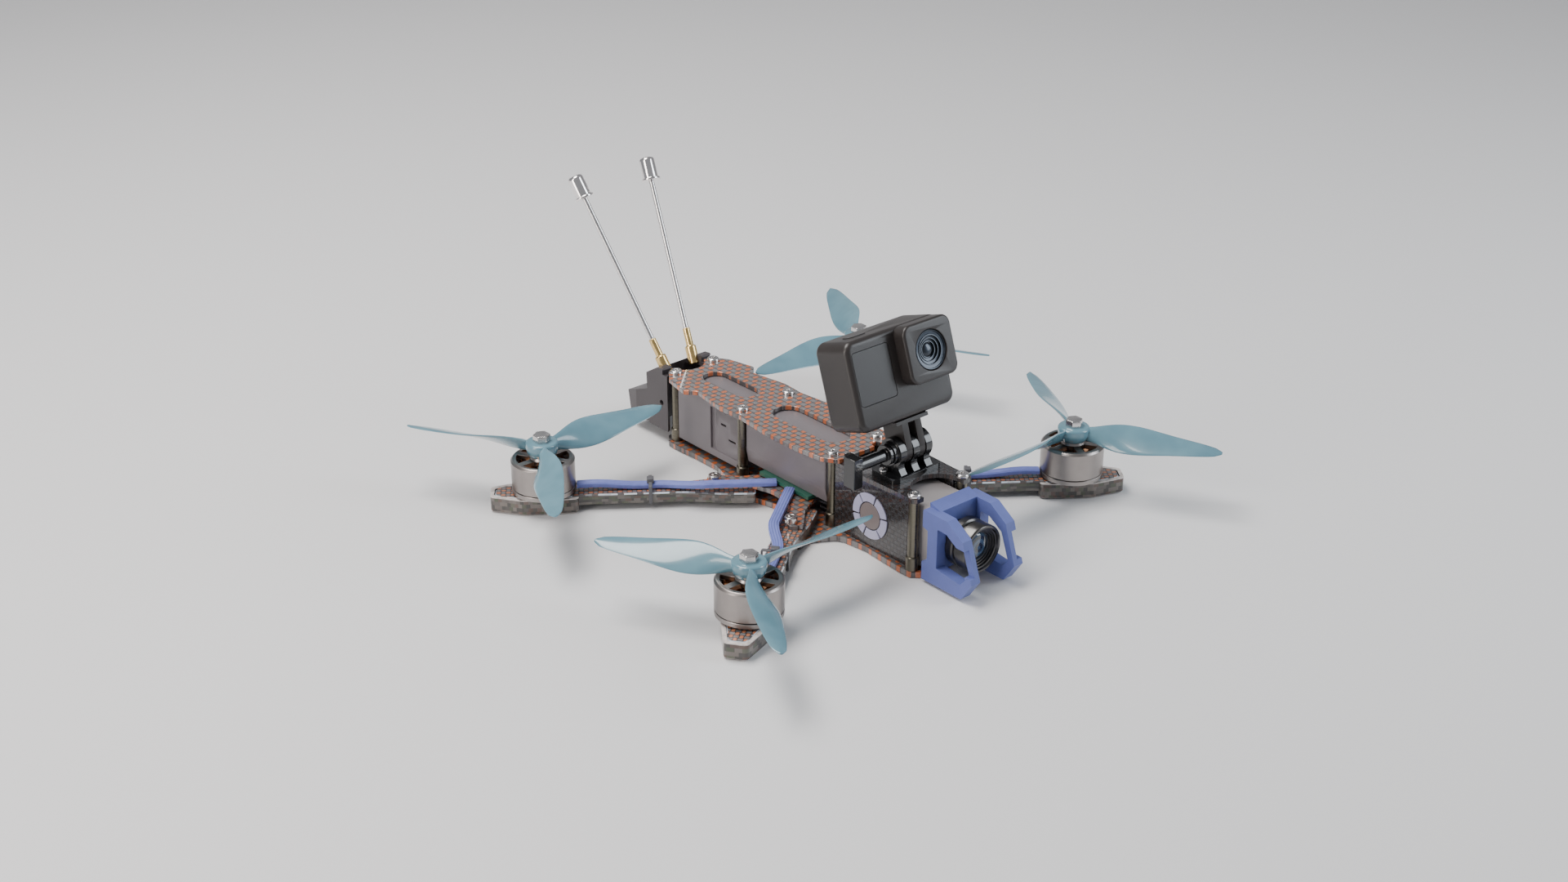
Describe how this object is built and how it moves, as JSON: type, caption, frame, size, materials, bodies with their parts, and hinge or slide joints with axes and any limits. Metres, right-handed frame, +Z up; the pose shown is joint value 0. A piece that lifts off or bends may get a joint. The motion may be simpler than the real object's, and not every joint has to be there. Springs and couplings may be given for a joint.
{
  "type": "fpv racing drone",
  "caption": "Carbon-frame racing quadcopter with three-blade propellers, a guarded nose lens, twin rear antennas and a tilting action camera.",
  "frame": {"origin": "on the underside of the bottom plate, midway between the four motor axes", "axes": "+Z up; the nose points along -Y; the pilot's right-hand side is -X"},
  "size_m": [0.2534, 0.2685, 0.1177],
  "materials": {
    "carbon_plate": "clear-coated woven carbon laminate",
    "arm_carbon": "clear-coated woven carbon laminate, cut edges",
    "guard_shell": "carbon-filled moulded cup with a pale rim",
    "dark_alloy": "dark olive anodised",
    "bright_steel": "polished",
    "motor_alloy": "turned, satin",
    "copper_winding": "enamelled wire on steel laminations",
    "propeller_plastic": "translucent moulded",
    "lead_insulation": "matte silicone insulation",
    "pale_tie": "moulded",
    "pale_casing": "satin moulded",
    "board_green": "solder-masked laminate",
    "sink_alloy": "dark anodised",
    "lens_alloy": "dark anodised, knurled",
    "lens_glass": "coated optical glass",
    "blue_guard": "matte printed flexible plastic",
    "pale_light": "frosted light cover",
    "tail_plastic": "matte printed plastic",
    "connector_brass": "turned, bright",
    "antenna_steel": "bright tube",
    "cap_chrome": "polished",
    "mount_black": "glossy moulded",
    "camera_case": "satin soft-touch",
    "camera_screen": "flat glossy cover",
    "camera_glass": "coated optical glass",
    "camera_button": "satin"
  },
  "bodies": {
    "frame": {"bottom_plate": "carbon_plate", "arm_clamp_plate": "carbon_plate", "top_plate": "carbon_plate", "nose_deck_plate": "carbon_plate", "nose_side_plate_left": "carbon_plate", "nose_side_plate_right": "carbon_plate", "standoffs": "dark_alloy", "frame_screws": "bright_steel", "stators": "copper_winding", "motor_leads": "lead_insulation", "lead_ties": "pale_tie", "motor_screws": "bright_steel", "video_transmitter": "pale_casing", "stack_cover": "pale_casing", "flight_controller": "board_green", "speed_controller": "board_green", "heat_sink": "sink_alloy", "flight_camera_case": "pale_casing", "camera_guard": "blue_guard", "ring_lights": "pale_light", "antenna_mount": "tail_plastic", "antenna_connectors": "connector_brass", "antenna_rods": "antenna_steel", "antenna_caps": "cap_chrome", "camera_mount": "mount_black", "arm_front_right": "arm_carbon", "arm_guard_front_right": "guard_shell", "motor_base_front_right": "motor_alloy", "arm_front_left": "arm_carbon", "arm_guard_front_left": "guard_shell", "motor_base_front_left": "motor_alloy", "arm_rear_right": "arm_carbon", "arm_guard_rear_right": "guard_shell", "motor_base_rear_right": "motor_alloy", "arm_rear_left": "arm_carbon", "arm_guard_rear_left": "guard_shell", "motor_base_rear_left": "motor_alloy"},
    "action_camera": {"action_camera_case": "camera_case", "action_lens_housing": "camera_case", "action_lens_window": "camera_glass", "action_front_screen": "camera_screen", "action_rear_screen": "camera_screen", "camera_fingers": "camera_case"},
    "clamp_screw": {"thumb_screw": "mount_black"},
    "flight_lens": {"flight_lens_barrel": "lens_alloy", "flight_lens_glass": "lens_glass"},
    "shutter": {"shutter_button": "camera_button"},
    "mode": {"mode_button": "camera_button"},
    "rotor_front_right": {"motor_bell_front_right": "motor_alloy", "propeller_front_right": "propeller_plastic", "prop_nut_front_right": "bright_steel"},
    "rotor_front_left": {"motor_bell_front_left": "motor_alloy", "propeller_front_left": "propeller_plastic", "prop_nut_front_left": "bright_steel"},
    "rotor_rear_right": {"motor_bell_rear_right": "motor_alloy", "propeller_rear_right": "propeller_plastic", "prop_nut_rear_right": "bright_steel"},
    "rotor_rear_left": {"motor_bell_rear_left": "motor_alloy", "propeller_rear_left": "propeller_plastic", "prop_nut_rear_left": "bright_steel"}
  },
  "joints": [
    {"name": "spin_front_right", "type": "hinge", "parent": "frame", "child": "rotor_front_right", "pos_m": [-0.0928, -0.0692, 0.018], "axis": [0, 0, 1], "continuous": true},
    {"name": "spin_front_left", "type": "hinge", "parent": "frame", "child": "rotor_front_left", "pos_m": [0.0928, -0.0692, 0.018], "axis": [0, 0, 1], "continuous": true},
    {"name": "spin_rear_right", "type": "hinge", "parent": "frame", "child": "rotor_rear_right", "pos_m": [-0.0928, 0.0692, 0.018], "axis": [0, 0, 1], "continuous": true},
    {"name": "spin_rear_left", "type": "hinge", "parent": "frame", "child": "rotor_rear_left", "pos_m": [0.0928, 0.0692, 0.018], "axis": [0, 0, 1], "continuous": true},
    {"name": "camera_tilt", "type": "hinge", "parent": "frame", "child": "action_camera", "pos_m": [0, -0.0595, 0.0468], "axis": [1, 0, 0], "range_deg": [-40, 35]},
    {"name": "clamp_turn", "type": "hinge", "parent": "frame", "child": "clamp_screw", "pos_m": [-0.02, -0.0595, 0.0468], "axis": [1, 0, 0], "continuous": true},
    {"name": "lens_focus", "type": "hinge", "parent": "frame", "child": "flight_lens", "pos_m": [0, -0.095, 0.0174], "axis": [0, 1, 0], "range_deg": [-180, 180]},
    {"name": "shutter_press", "type": "slide", "parent": "action_camera", "child": "shutter", "axis": [0, -0.3256, -0.9455], "range_m": [0, 0.0004], "stiffness_N_per_m": 400, "springref_m": -0.001},
    {"name": "mode_press", "type": "slide", "parent": "action_camera", "child": "mode", "axis": [-1, 0, 0], "range_m": [0, 0.0004], "stiffness_N_per_m": 400, "springref_m": -0.001}
  ]
}
